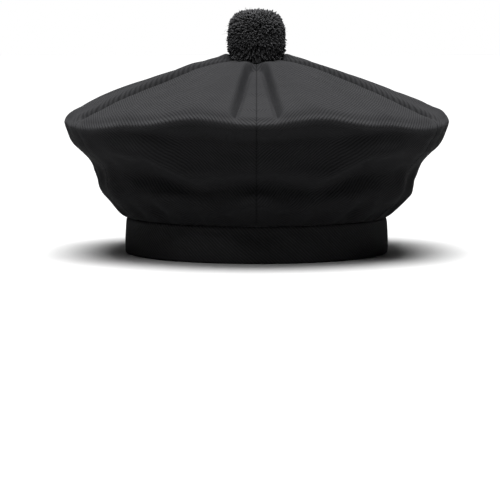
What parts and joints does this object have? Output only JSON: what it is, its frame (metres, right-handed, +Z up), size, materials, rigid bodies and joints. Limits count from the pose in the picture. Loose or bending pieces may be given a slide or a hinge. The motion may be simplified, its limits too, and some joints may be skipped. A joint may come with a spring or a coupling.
{
  "type": "pompom beret",
  "caption": "Plain twill beret with gored crown gathered into an upright band, lined inside, with a yarn pompom on top; stands on its band",
  "frame": {"origin": "middle of the part's box, on the surface that the band stands on", "axes": "+Z up, -Y towards the front seam, +X to the right as seen from the front"},
  "size_m": [0.2741, 0.2796, 0.1742],
  "materials": {
    "crown_cloth": "matt black twill with fine diagonal ribs",
    "band_cloth": "matt black twill, doubled and folded at the lower edge",
    "lining_cloth": "smooth black lining with a soft satin sheen",
    "pompom_yarn": "matt black wool yarn, cut ends"
  },
  "bodies": {
    "root": {"crown_gore_1": "crown_cloth", "crown_gore_2": "crown_cloth", "crown_gore_3": "crown_cloth", "crown_gore_4": "crown_cloth", "crown_gore_5": "crown_cloth", "crown_gore_6": "crown_cloth", "band": "band_cloth", "lining": "lining_cloth", "pompom": "pompom_yarn"}
  },
  "joints": []
}
